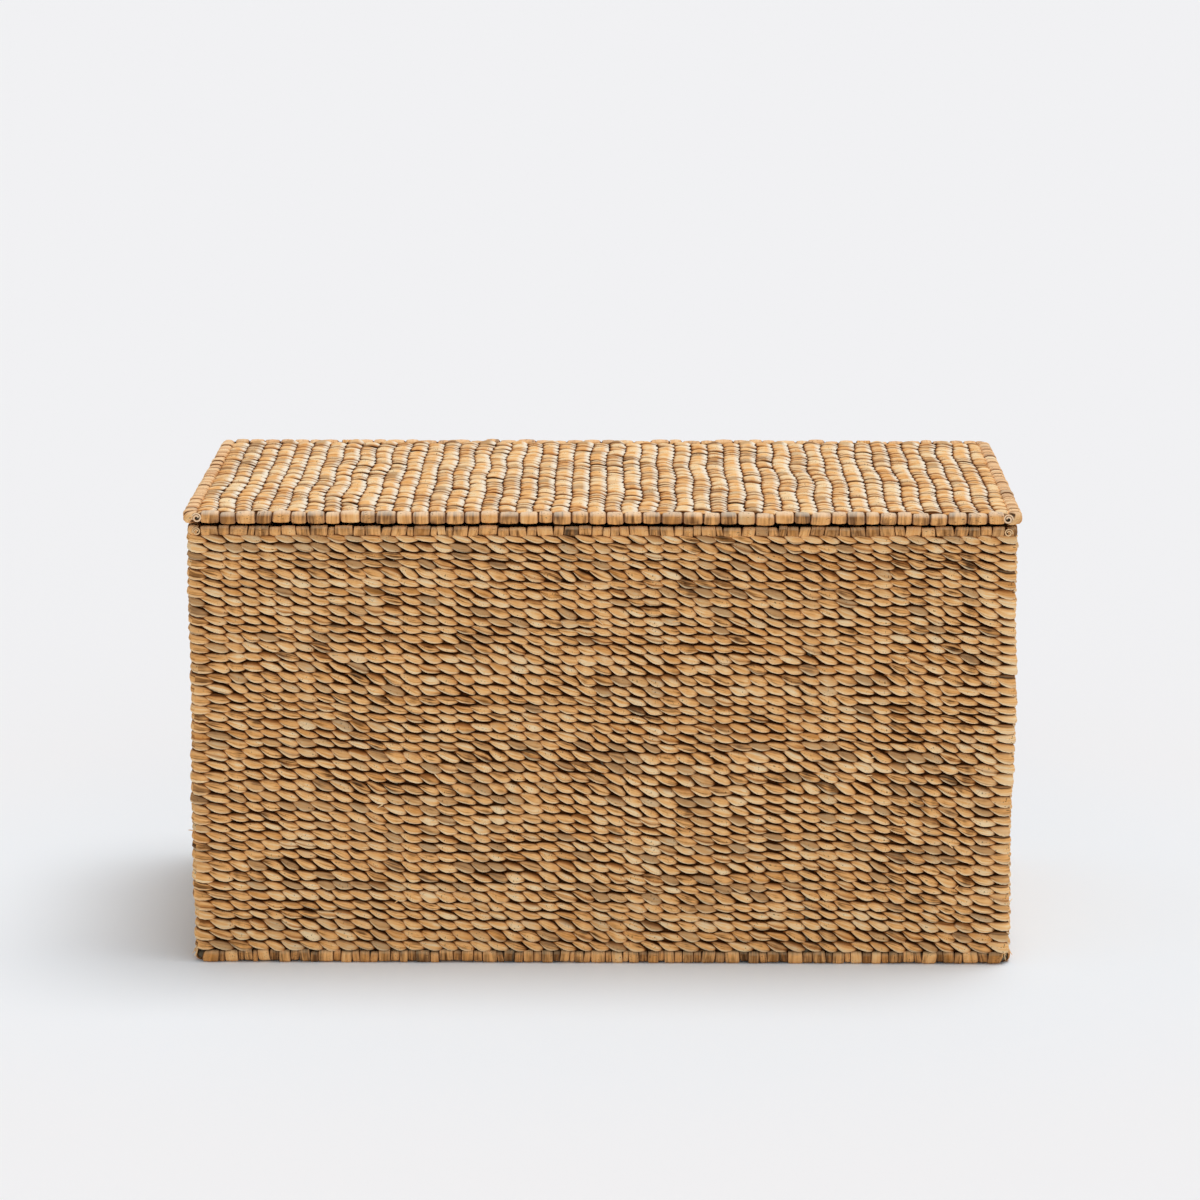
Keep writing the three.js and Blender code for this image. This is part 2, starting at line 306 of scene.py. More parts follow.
def strand_finish(name, bleach, grain, edge, shine):
    """The dried strand. Bleach is added to every tone, grain sets the contrast of its fibres, and edge
    colours the painted highlight.
    """
    finish, shader, start = new_finish(name)
    along = start.node("ShaderNodeUVMap", {"uv_map": "strand"})

    def carried(label):
        return start.node("ShaderNodeAttribute", {"attribute_name": label}, output=FACTOR_OUTPUT)

    def noise(per_length, per_width, detail):
        spot = start.node("ShaderNodeMapping", {}, {"Vector": along, "Scale": (per_length, per_width, 1)})
        values = {"Vector": spot, "Scale": 1, "Detail": detail}
        return start.node("ShaderNodeTexNoise", {"noise_dimensions": "2D"}, values)

    tone, warmth, height, rim = (carried(label) for label in STITCH_VALUES)
    fibre = noise(FIBRE_LENGTH_PER_M, FIBRES_PER_M, detail=3)
    fold = noise(FOLD_LENGTH_PER_M, FOLDS_PER_M, detail=2)
    blotch = noise(BLOTCHES_PER_M, BLOTCHES_PER_M, detail=4)
    speck = noise(SPECKS_PER_M, SPECKS_PER_M, detail=1)
    marks = (fibre - NOISE_MIDDLE) * FIBRE_MARK + (fold - NOISE_MIDDLE) * FOLD_MARK
    marks = marks + (blotch - NOISE_MIDDLE) * BLOTCH_MARK
    level = tone + bleach + marks * grain
    colour = start.node("ShaderNodeValToRGB", {"stops": PALETTE}, {"Fac": level})
    colour = ((0 - warmth).between(*WARMTH_FADE) * GREY_MOST).mix(colour, GREY_STEM)
    colour = (warmth.between(*WARMTH_FADE) * ORANGE_MOST).mix(colour, ORANGE_STEM)
    # A painted highlight on folded edges, broken up by the fibres.
    colour = (rim * fibre.between(*HIGHLIGHT_FIBRE_FADE)).mix(colour, edge)
    spots = speck.between(*SPECK_FADE) * blotch.between(*SPECK_PATCHES)
    colour = (spots * SPECK_MOST).mix(colour, SPECK_AND_DEEP_SHADE)
    # Painted shade where a stem dips under another: warm at first, then almost black.
    colour = (1 - height.between(*WARM_SHADE_FADE)).mix(colour, WARM_SHADE, "MULTIPLY")
    colour = ((1 - height.between(*BLACK_SHADE_FADE)) * SHADE_MOST).mix(colour, SPECK_AND_DEEP_SHADE)
    start.feed(shader.inputs["Base Color"], colour)
    start.feed(shader.inputs["Roughness"], SMOOTHEST + fibre * FIBRE_ROUGHNESS)
    shader.inputs["Specular IOR Level"].default_value = shine
    relief = fibre * FIBRE_RELIEF + fold * FOLD_RELIEF + blotch * BLOTCH_RELIEF
    values = {"Strength": RELIEF_STRENGTH, "Distance": RELIEF_DEPTH, "Height": relief}
    start.feed(shader.inputs["Normal"], start.node("ShaderNodeBump", {}, values))
    return finish


wall_strand = strand_finish("wall_strand", bleach=0.085, grain=1.8, edge=WALL_FOLD_HIGHLIGHT, shine=0.03)
lid_strand = strand_finish("lid_strand", bleach=0.2, grain=1.7, edge=LID_FOLD_HIGHLIGHT, shine=0.04)
wound_wall_strand = strand_finish("wound_wall_strand", bleach=0.07, grain=1.1, edge=WALL_FOLD_HIGHLIGHT, shine=0.03)
wound_lid_strand = strand_finish("wound_lid_strand", bleach=0.17, grain=1.1, edge=LID_FOLD_HIGHLIGHT, shine=0.04)
print("strand finishes:", wall_strand.name, lid_strand.name, wound_wall_strand.name, wound_lid_strand.name)

# %% [markdown]
# The rods are bare where they bend, so they need a finish as well: a thin dark paint, a little worn and
# browned, that shows in the bends at the foot and deep between the stitches.

# %% Rod finish
ROD_PAINT = (0.110, 0.092, 0.062, 1)
ROD_RUST = (0.160, 0.105, 0.060, 1)
RUST_PER_M = 160
RUST_FADE = (0.48, 0.68)
ROD_SMOOTHEST = 0.42
RUST_ROUGHNESS = 0.4
ROD_SHINE = 0.06
PITTED = {"Strength": 0.3, "Distance": 0.3 * MM}

rod_paint, rod_shader, rod_start = new_finish("rod_paint")
rod_spot = rod_start.node("ShaderNodeTexCoord", output=OBJECT_OUTPUT)
rod_noise = rod_start.node("ShaderNodeTexNoise", {}, {"Vector": rod_spot, "Scale": RUST_PER_M, "Detail": 5})
rust = rod_noise.between(*RUST_FADE)
rod_start.feed(rod_shader.inputs["Base Color"], rust.mix(ROD_PAINT, ROD_RUST))
rod_start.feed(rod_shader.inputs["Roughness"], ROD_SMOOTHEST + rust * RUST_ROUGHNESS)
rod_shader.inputs["Specular IOR Level"].default_value = ROD_SHINE
rod_bump = rod_start.node("ShaderNodeBump", {}, {**PITTED, "Height": rod_noise})
rod_start.feed(rod_shader.inputs["Normal"], rod_bump)
for node_name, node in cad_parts.items():
    if node_name.startswith(("corner_post", "upright", "floor_bar", "lid_bar")):
        for slot in node.material_slots:
            slot.material = rod_paint
print("rods painted")

# %% [markdown]
# ## From a flat chart to a strand
#
# Every strand here is a tube that follows some path and changes its width as it goes. Drawing thousands of
# stitches one by one would be slow, so we start from flat charts: a grid for each strand, with the steps
# along it in x and the steps round it in y. A shape function then says where each point of the chart goes,
# for all points at once, and merging doubled points closes the tube. Each strand reads another stretch of
# the noise, so that no two look alike, and has its own lane in the square map that is used for baking.

# %% Charts and strands
STRAND_SHIFT = (3.7, 0.61)
LANE_MARGIN = 0.04
ROUNDING = 1e-4
MERGE_WITHIN = 0.002 * MM


def chart_mesh(name, strands, stations, sides):
    """Flat charts, one for each strand, whose x, y and z count stations, sides and strands."""
    charts = bmesh.new()
    scale = Matrix.Diagonal((stations / 2, sides / 2, 1, 1))
    for number in range(strands):
        place = Matrix.Translation((stations / 2, sides / 2, number)) @ scale
        bmesh.ops.create_grid(charts, x_segments=stations, y_segments=sides, size=1, matrix=place)
    return put_mesh(name, charts)


def corner_maps(mesh, chart, stations, sides, folds, step, girth):
    """Adds the map along the strand, in metres, and the folded one that fills a square for baking."""
    corners = np.empty(len(mesh.loops), np.int32)
    mesh.loops.foreach_get("vertex_index", corners)
    station, side, strand = chart[corners].reshape(-1, 4, 3).transpose(2, 0, 1)
    strands = strand.max() + 1
    run = stations / folds
    fold = np.floor(station.min(axis=1, keepdims=True) / run + ROUNDING)
    lane = strand * folds + fold + LANE_MARGIN + (1 - 2 * LANE_MARGIN) * side / sides
    shift_x, shift_y = STRAND_SHIFT
    along = np.stack([station * step + strand * shift_x, side / sides * girth + strand * shift_y], -1)
    square = np.stack([station / run - fold, lane / (strands * folds)], -1)
    for label, values in (("strand", along), ("OFBake", square)):
        layer = mesh.uv_layers.new(name=label)
        layer.data.foreach_set("uv", values.astype(np.float32).ravel())
    mesh.uv_layers.active = mesh.uv_layers["strand"]


def lay_strands(name, strands, stations, sides, shape, folds=1, step=3 * MM, girth=24 * MM):
    """Strands from charts: shape(station, side, strand) gives points and the four values of the finish."""
    piece = chart_mesh(name, strands, stations, sides)
    mesh = piece.data
    chart = np.empty(len(mesh.vertices) * 3, np.float32)
    mesh.vertices.foreach_get("co", chart)
    chart = np.rint(chart.reshape(-1, 3)).astype(float)
    points, looks = shape(chart[:, 0], chart[:, 1], chart[:, 2].astype(int))
    corner_maps(mesh, chart, stations, sides, folds, step, girth)
    mesh.vertices.foreach_set("co", points.astype(np.float32).ravel())
    for label in STITCH_VALUES:
        values = np.broadcast_to(looks[label], len(points)).astype(np.float32)
        mesh.attributes.new(label, "FLOAT", "POINT").data.foreach_set("value", values)
    tube = bmesh.new()
    tube.from_mesh(mesh)
    bmesh.ops.remove_doubles(tube, verts=tube.verts, dist=MERGE_WITHIN)
    bmesh.ops.recalc_face_normals(tube, faces=tube.faces)
    tube.to_mesh(mesh)
    tube.free()
    mesh.polygons.foreach_set("use_smooth", np.ones(len(mesh.polygons), bool))
    return piece


def dress(piece, finish, slot, body, *nodes):
    """Gives a piece its finish, the body that it moves with and the nodes it stands for. The slot is not
    used.
    """
    piece.data.materials.append(finish)
    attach(piece, body)
    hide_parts(*nodes)
    print(piece.name, len(piece.data.polygons), "faces")


print("charts ready")

# %% [markdown]
# ## Paths with round corners
#
# The walls, the rods and the turns of a wound strand all follow rectangles with round corners. One sampled
# outline serves for all of them: it gives the place and the outward direction for any length along it. A
# few long sine waves, added up, give the slow random drifts that no hand weaver can avoid.

# %% Rounded outlines
BEND_POINTS = 13
WAVES = 5
WAVES_TOP = 2.4


class Outline:
    """A rectangle with round corners, measured from the middle of its low left bend, left to right first."""

    def __init__(self, half_x, half_y, bend):
        reach_x = half_x - bend
        reach_y = half_y - bend
        bends = [
            (-reach_x, -reach_y, 225, 270),
            (reach_x, -reach_y, 270, 360),
            (reach_x, reach_y, 0, 90),
            (-reach_x, reach_y, 90, 180),
            (-reach_x, -reach_y, 180, 225),
        ]
        turns = [np.radians(np.linspace(low, high, BEND_POINTS)) for _, _, low, high in bends]
        self.turn = np.unwrap(np.concatenate(turns))
        self.x = np.concatenate([b[0] + bend * np.cos(t) for b, t in zip(bends, turns)])
        self.y = np.concatenate([b[1] + bend * np.sin(t) for b, t in zip(bends, turns)])
        steps = np.hypot(np.diff(self.x), np.diff(self.y))
        self.s = np.concatenate([[0], np.cumsum(steps)])
        self.length = self.s[-1]
        quarter = bend * math.pi / 2
        wide, deep = 2 * reach_x + quarter, 2 * reach_y + quarter
        self.corners = np.cumsum([0, wide, deep, wide, deep])

    def at(self, s):
        """Place and outward direction at each length along the outline."""
        s = np.mod(s, self.length)
        turn = np.interp(s, self.s, self.turn)
        place = np.stack([np.interp(s, self.s, self.x), np.interp(s, self.s, self.y)])
        return place, np.stack([np.cos(turn), np.sin(turn)])


def sway(place, wave, seed):
    """A smooth random field over points in space, mostly between -1 and 1."""
    draw = np.random.default_rng(seed)
    total = 0
    for _ in range(WAVES):
        heading = draw.normal(size=3) / wave
        total = total + np.sin(2 * math.pi * (heading @ place) + draw.uniform(0, 2 * math.pi))
    return total / WAVES_TOP


BEND = 8 * MM
wall_low, wall_high = (np.array(corner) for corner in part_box("wall_weave"))
WALL_HALF = 6 * MM
wall_path = Outline(wall_high[0] - WALL_HALF, wall_high[1] - WALL_HALF, BEND)
print("wall path", round(wall_path.length, 3), "m round")

# %% [markdown]
# ## The twined walls
#
# Each course of the wall is a pair of strands that twist round each other between the stakes: where one
# passes in front of a stake, the other passes behind it. Seen from outside, the pair shows one slanting,
# lens-shaped stitch at every stake, with pointed tips that tuck under its neighbours. Small random changes
# to every stitch, and slow drifts over the whole wall, keep it from looking printed. This cell sets out the
# courses and the stakes. The top courses are a little lower, and the stakes stand wider at the corners.

# %% Courses and stakes
COURSES = 43
STAKES_LONG = 46
STAKES_SHORT = 23
STAKES = 2 * (STAKES_LONG + STAKES_SHORT)
COURSE_SPREAD = 0.15
TOP_COURSES = 3
TOP_SHRINK = 0.86
CORNER_STRETCH = 1.3
RIM_OVERLAP = 3 * MM

draw = np.random.default_rng(7)
course_heights = 1 + COURSE_SPREAD * draw.uniform(-1, 1, COURSES)
course_heights[-TOP_COURSES:] *= TOP_SHRINK
course_edges = np.concatenate([[0], np.cumsum(course_heights)])
course_edges = wall_low[2] + course_edges / course_edges[-1] * (wall_high[2] + RIM_OVERLAP - wall_low[2])
stake_counts = np.cumsum([0, STAKES_LONG, STAKES_SHORT, STAKES_LONG, STAKES_SHORT])
stake_stops, stake_places = [], []
for side in range(4):
    first, last = stake_counts[side:side + 2]
    start, end = wall_path.corners[side:side + 2]
    corner_step = CORNER_STRETCH * (end - start) / (last - first)
    stake_stops += [first, first + 1, last - 1]
    stake_places += [start, start + corner_step, end - corner_step]
stake_stops.append(stake_counts[-1])
stake_places.append(wall_path.corners[-1])
print(COURSES, "courses and", STAKES, "stakes")

# %% [markdown]
# A stem is used until it ends, so tone and warmth hold along a strand and change where a new stem is spliced
# in. On top of that, each stitch differs a little in tone, height, slant and place, a few are dark or grey,
# and some have a crease. All this is drawn once from one seeded generator, and kept in tables with a row for
# each course or strand and a column for each stake.

# %% Stitches
FARTHEST = 2.2
SPLICE_CHANCE = 0.06
DARK_DROP = 0.18
GREY_CHANCE = 0.05
GREY_SHIFT = 0.7
WARMTH_BY_STRAND = 0.26
WARMTH_BY_STITCH = 0.34
COLUMN_DRIFT = 2.0 * MM
COLUMN_WAVE = 0.3
WALL_BULGE = 1.2 * MM
BULGE_WAVE = 0.4
ROW_DRIFT = 2.4 * MM
ROW_WAVE = 0.45
CALM_EDGE = 0.06
CORNER_PLUMP = 0.2
CREASE_CHANCES = {-1: 0.84, 2: 0.06, 3: 0.06, 4: 0.04}


def stitch_table(rows, stakes, spread):
    """One random number for every stitch, around zero."""
    return spread * draw.normal(size=(rows, stakes)).clip(-FARTHEST, FARTHEST)


def crease_table(rows, stakes, chances):
    """The side of its section that is creased in every stitch, or -1 for a stitch without a crease."""
    return draw.choice(list(chances), size=(rows, stakes), p=list(chances.values()))


def strand_tones(rows, stakes, middle, spread):
    """Tones that hold along a strand and change where a new strand is spliced in."""
    tones = np.empty((rows, stakes))
    for row in range(rows):
        tone = middle + spread * draw.normal()
        for stake in range(stakes):
            if draw.random() < SPLICE_CHANCE:
                tone = middle + spread * draw.normal()
            tones[row, stake] = tone
    return tones


def stitch_looks(rows, stakes, middle, spread, dark_share):
    """Tone and warmth of every stitch: mostly alike along a strand, with a few that are dark or grey."""
    tone = strand_tones(rows, stakes, middle, spread) + stitch_table(rows, stakes, spread)
    dark = draw.random((rows, stakes)) < dark_share
    warmth = strand_tones(rows, stakes, 0.0, WARMTH_BY_STRAND) + stitch_table(rows, stakes, WARMTH_BY_STITCH)
    grey = draw.random((rows, stakes)) < GREY_CHANCE
    return tone - DARK_DROP * dark, warmth - GREY_SHIFT * grey


def drifted(at, level):
    """A stake number and a height on the wall, moved by the slow drifts of the weave."""
    along = np.interp(at, stake_stops, stake_places)
    place, _ = wall_path.at(along)
    spot = np.stack([*place, level])
    inside = np.clip(np.minimum(level - wall_low[2], wall_high[2] - level) / CALM_EDGE, 0, 1)
    along = along + COLUMN_DRIFT * sway(spot, COLUMN_WAVE, seed=11)
    bulge = WALL_BULGE * sway(spot, BULGE_WAVE, seed=13) * inside
    level = level + ROW_DRIFT * sway(spot, ROW_WAVE, seed=12) * inside
    return along, bulge, level, spot


plump = 1 + stitch_table(COURSES, STAKES, spread=0.12)
plump[:, stake_counts[:4]] += CORNER_PLUMP
slant = 1 + stitch_table(COURSES, STAKES, spread=0.28)
lift = stitch_table(COURSES, STAKES, spread=0.5 * MM)
slide = stitch_table(COURSES, STAKES, spread=1.4 * MM)
stitch_tone, stitch_warmth = stitch_looks(2 * COURSES, STAKES, middle=0.55, spread=0.065, dark_share=0.08)
crease_side = crease_table(2 * COURSES, STAKES, CREASE_CHANCES)
print(COURSES * STAKES, "stitches show on the outside")

# %% [markdown]
# A strand is round in section, and a stem that dries flat is squarer. These helpers give the two parts of a
# section, across the strand and outward. A strand of the wall has more of its points on the side that shows,
# and its folded edges get a painted highlight there. One helper reads a table of stitches between two stakes.
# The lid, the rods and the hinges use some of them too.

# %% Sections of a strand
SIDES = 9
FRONT_TURNS = np.radians([0, 28, 68, 112, 143, 163, 180, 240, 300, 360])
LOWER_FOLD, LOWER_FADE = -0.62, 0.25
UPPER_FOLD, UPPER_FADE = 0.82, 0.3
UPPER_LIGHT = 0.5
TURNED_IN = -0.1


def between_ends(part):
    """0 at both ends of a strand, where its tube closes to a point, and 1 between them."""
    return np.where((part == 0) | (part == 1), 0, 1)


def blend_stitches(table, row, at):
    """Reads a table of stitches between two stakes, going round."""
    low = np.floor(at).astype(int)
    part = at - low
    stakes = table.shape[1]
    return table[row, low % stakes] * (1 - part) + table[row, (low + 1) % stakes] * part


def round_section(side, sides, squareness):
    """Across and outward parts of a section's outline, from -1 to 1."""
    angle = 2 * math.pi * side / sides
    across = np.sign(np.cos(angle)) * np.abs(np.cos(angle)) ** squareness
    outward = np.sign(np.sin(angle)) * np.abs(np.sin(angle)) ** squareness
    return across, outward


def front_section(side):
    """A round section with more of its sides on the half that shows."""
    angle = np.interp(side, range(SIDES + 1), FRONT_TURNS)
    return np.cos(angle), np.sin(angle)


def folded_edge_highlight(across, outward):
    """Painted highlight, 1 along the lower edge of a strand and less along the upper one, where folds catch
    light.
    """
    lower = np.clip((LOWER_FOLD - across) / LOWER_FADE, 0, 1)
    upper = np.clip(1 - np.abs(across - UPPER_FOLD) / UPPER_FADE, 0, 1)
    return np.where(outward > TURNED_IN, lower + UPPER_LIGHT * upper, 0)


print("a strand of the wall has", SIDES, "sides")

# %% [markdown]
# The path of a strand is a wave. Counted from the middle of a stitch, off goes from -1 to 1: at 0 the strand
# lies in front of a stake, and at -1 and 1 it lies behind the neighbours. It sets how far out the strand
# lies, how broad it is and how far it has slanted down. Painted shade darkens the upper edge of a stitch,
# because the course above hangs over it, its lowest line, its tips, its creases and all of the strand that
# lies behind a stake. Its folded edges get a painted highlight.

# %% Shape of a course
STATIONS = 6
WEAVE_SWING = 3.4 * MM
STRAND_HALF = 2.8 * MM
OUTER_BIAS = 0.6
OUTER_SKEW = -0.2
INNER_GAIN = 2.4
LENS_REACH = 0.76
INNER_REACH = 0.38
TIP_POWER = 1.9
TAIL_POWER = 2.0
TIP = 0.03
PLUMP = 0.465
SLANT = 0.37
TILT = 1.2 * MM
TIP_THICKNESS = 0.6
CREASE = 0.5
CREASE_SHADE = 0.45
DEEPEST = 0.95
SHADOW_EDGE, SHADOW_FADE = 0.78, 0.14
UNDER_EDGE = -0.98
INNER_SHADE = 0.9
INNER_FACE = -0.3
LIT_REACH = 0.36
FOLD_GAIN = 3
LIT_END, LEAST_FOLD = 0.8, 0.3
PATCH_TONE = 0.065
PATCH_WAVE = 0.2
PATCH_SQUEEZE = np.array([[0.5], [0.5], [1.6]])


def twined_courses(first):
    """The shape of the courses from first upwards, two strands to a course."""

    def shape(station, side, strand):
        course = first + strand // 2
        row = 2 * course + strand % 2
        at = station / STATIONS
        turn = at + strand % 2
        off = turn - 2 * np.rint(turn / 2)
        stitch = np.rint(np.where(np.abs(off) < LENS_REACH, at - off, at)).astype(int) % STAKES
        behind = 1 - np.abs(off)
        reach = (np.cos(math.pi * off) + OUTER_BIAS + OUTER_SKEW * np.sin(math.pi * off)) / (1 + OUTER_BIAS)
        reach = np.where(reach < 0, INNER_GAIN * reach, reach)
        power = np.where(off > 0, TAIL_POWER, TIP_POWER)
        lens = 1 - np.minimum(np.abs(off) / LENS_REACH, behind / INNER_REACH).clip(0, 1) ** power
        tall = course_edges[course + 1] - course_edges[course]
        along, bulge, middle, spot = drifted(at, (course_edges[course] + course_edges[course + 1]) / 2)
        place, facing = wall_path.at(along + blend_stitches(slide, course, at))
        across, outward = front_section(side)
        creased = side == crease_side[row, stitch]
        outward = outward - CREASE * creased
        half_tall = tall * (TIP + (PLUMP - TIP) * lens) * blend_stitches(plump, course, at)
        out = (WEAVE_SWING + blend_stitches(lift, course, at)) * reach
        out = out - TILT * across * lens * np.sign(reach)
        out = out + STRAND_HALF * (TIP_THICKNESS + (1 - TIP_THICKNESS) * lens) * outward
        drop = np.sign(off) * np.minimum(np.abs(off) / LENS_REACH, behind / (1 - LENS_REACH))
        drop = SLANT * tall * drop * blend_stitches(slant, course, at)
        points = np.stack([*(place + facing * (out + bulge)), middle - drop + half_tall * across], -1)
        # Painted shade: the upper edge under the course above, the lowest line, creases, and the strand
        # behind a stake.
        upper = np.clip((across - SHADOW_EDGE) / SHADOW_FADE, 0, DEEPEST)
        under = DEEPEST * (across < UNDER_EDGE)
        shaded = np.where(reach < 0, INNER_SHADE * (outward > INNER_FACE), np.maximum(upper, under))
        shaded = np.maximum(shaded, CREASE_SHADE * creased)
        patch = PATCH_TONE * sway(spot * PATCH_SQUEEZE, PATCH_WAVE, seed=14)
        # A painted highlight on the folded edges, strongest towards the left end of a stitch.
        folds = folded_edge_highlight(across, outward) * np.clip(lens * FOLD_GAIN, 0, 1)
        # The painted light also fades at the tips, where a stitch dives under its neighbours.
        looks = {
            "tone": stitch_tone[row, stitch] + patch,
            "warmth": stitch_warmth[row, stitch],
            "height": np.clip(np.abs(reach) / LIT_REACH, 0, 1) * (1 - shaded),
            "rim": folds * np.clip(LIT_END - off, LEAST_FOLD, 1),
        }
        return points, looks

    return shape


print("a stitch of the wall has", 2 * STATIONS, "steps along it, front and back")

# %% [markdown]
# The finished wall has about 640,000 faces. It is made as eight bands, so that each mesh stays light enough
# to edit and to export. The stakes are flat split stems from the foot to the rim. They are painted dark, as
# deep shade, so they show only as dark slivers between the stitches, but without them light would fall
# through the wall.

# %% Wall bands and stakes
BAND_EDGES = [0, 5, 10, 15, 21, 26, 32, 37, 43]
STAKE_STATIONS = 44
STAKE_SIDES = 6
STAKE_HALF = 0.8 * MM
STAKE_SPREAD = 0.68
STAKE_GIRTH = 8 * MM

for number, (low, high) in enumerate(zip(BAND_EDGES, BAND_EDGES[1:]), 1):
    shape = twined_courses(low)
    band = lay_strands(f"wall_weave_{number}", 2 * (high - low), STAKES * STATIONS, SIDES, shape, folds=4)
    dress(band, wall_strand, "wall_strand", "chest", "wall_weave")


def wall_stakes(station, side, strand):
    """The shape of the upright stems, one at every stitch of a course."""
    part = station / STAKE_STATIONS
    along, bulge, level, _ = drifted(strand, wall_low[2] + part * (wall_high[2] - wall_low[2]))
    across, outward = round_section(side, STAKE_SIDES, 1)
    thick = STAKE_HALF * between_ends(part)
    spread = STAKE_SPREAD * wall_path.length / STAKES * across * (thick > 0)
    place, facing = wall_path.at(along + spread)
    points = np.stack([*(place + facing * (bulge + thick * outward)), level], -1)
    # A dark tone and little painted light: the stakes are painted as deep shade.
    return points, {"tone": 0.25, "warmth": 0.0, "height": 0.2, "rim": 0.0}


stakes = lay_strands("wall_stakes", STAKES, STAKE_STATIONS, STAKE_SIDES, wall_stakes, girth=STAKE_GIRTH)
dress(stakes, wall_strand, "wall_strand", "chest", "wall_weave")

# %% [markdown]
# ## The woven lid and floor
#
# The lid is a plain weave: flat, wide strands go over one stake and under the next, and the next strand does
# the opposite. The floor of the chest is woven the same way, so one class draws the tables of stitches for
# both. Rows and columns drift a little, and the drift fades out towards the edges.

# %% Plain woven panels
PANEL_COLUMN_DRIFT = 1.5 * MM
PANEL_COLUMN_WAVE = 0.2
PANEL_ROW_DRIFT = 4.5 * MM
PANEL_ROW_WAVE = 0.3
PANEL_CALM_EDGE = 0.05
PANEL_ROW_SPREAD = 0.24
PANEL_CREASES = {-1: 0.3, 1: 0.2, 2: 0.25, 3: 0.25}
# Usual and least painted shade along the edges of an arch.
GROOVE_USUAL, GROOVE_LEAST = 0.8, 0.2
COLUMNS = 46


class Panel:
    """A plain weave that fills a box, with its strands along x and its stakes along y."""

    def __init__(self, box, strands, stations, sides, seed, middle):
        self.low, self.high = (np.array(corner) for corner in box)
        self.strands, self.stations, self.sides, self.seed = strands, stations, sides, seed
        self.level = (self.low[2] + self.high[2]) / 2
        self.pitch = (self.high[0] - self.low[0]) / COLUMNS
        rows = 1 + PANEL_ROW_SPREAD * draw.uniform(-1, 1, strands)
        self.rows = rows * (self.high[1] - self.low[1]) / rows.sum()
        self.places = self.low[1] + np.cumsum(self.rows) - self.rows / 2
        self.sizes = 1 + stitch_table(strands, COLUMNS + 1, spread=0.07)
        self.lifts = stitch_table(strands, COLUMNS + 1, spread=0.6 * MM)
        self.leans = stitch_table(strands, COLUMNS + 1, spread=0.9 * MM)
        # How dark the painted shade is along the edges of each arch, stitch by stitch.
        grooves = GROOVE_USUAL + stitch_table(strands, COLUMNS + 1, spread=0.3)
        self.grooves = np.clip(grooves, GROOVE_LEAST, 1)
        self.creases = crease_table(strands, COLUMNS + 1, PANEL_CREASES)
        self.tones, self.warmths = stitch_looks(strands, COLUMNS + 1, middle, spread=0.03, dark_share=0.03)

    def drifted(self, at, y):
        """A stake number and a depth in the panel, moved by the slow drifts of the weave."""
        x = self.low[0] + at * self.pitch
        spot = np.stack([x, y, 0 * x])
        ends = np.clip(np.minimum(at, COLUMNS - at) / 0.5, 0, 1)
        inside = np.clip(np.minimum(y - self.low[1], self.high[1] - y) / PANEL_CALM_EDGE, 0, 1)
        x = x + PANEL_COLUMN_DRIFT * sway(spot, PANEL_COLUMN_WAVE, self.seed) * ends
        return x, y + PANEL_ROW_DRIFT * sway(spot, PANEL_ROW_WAVE, self.seed + 1) * inside


print("a panel has", COLUMNS, "columns")

# %% [markdown]
# From above, each column of a panel shows every second strand as a broad arch whose ends tuck in between its
# neighbours. As on the wall, off is counted from the middle of an arch. Painted shade makes a dark notch
# where an arch goes in on one side, and a painted highlight makes a pale fold where it comes out on the
# other.
# Painted shade also darkens the edges of each arch, its creases and the tops of the strands that pass under.

# %% Shape of a panel
PANEL_SWING = 3.3 * MM
PANEL_HALF = 2.7 * MM
PANEL_NARROW = 0.55
PANEL_BIAS = 0.4
PANEL_SKEW = 0.45
PANEL_SLANT = 1.2 * MM
PANEL_PLUMP = 1.08
PANEL_SQUARENESS = 0.95
PANEL_CREASE_SHADE = 0.6
PANEL_BROADEN = 0.4
PANEL_FLATTEN = 0.7
PANEL_LIT = 0.35
PANEL_FACE = 0.3
# Where along an arch the painted shade of its notch and the painted highlight of its tip lie.
NOTCH_PLACE, NOTCH_FADE = -0.5, 0.22
TIP_HIGHLIGHT_PLACE, TIP_HIGHLIGHT_FADE = 0.56, 0.2
PLATEAU = 1.4
GROOVE_EDGE = 0.9
NOTCH_GROOVE = 0.5
UNDER_SHADE = 0.85


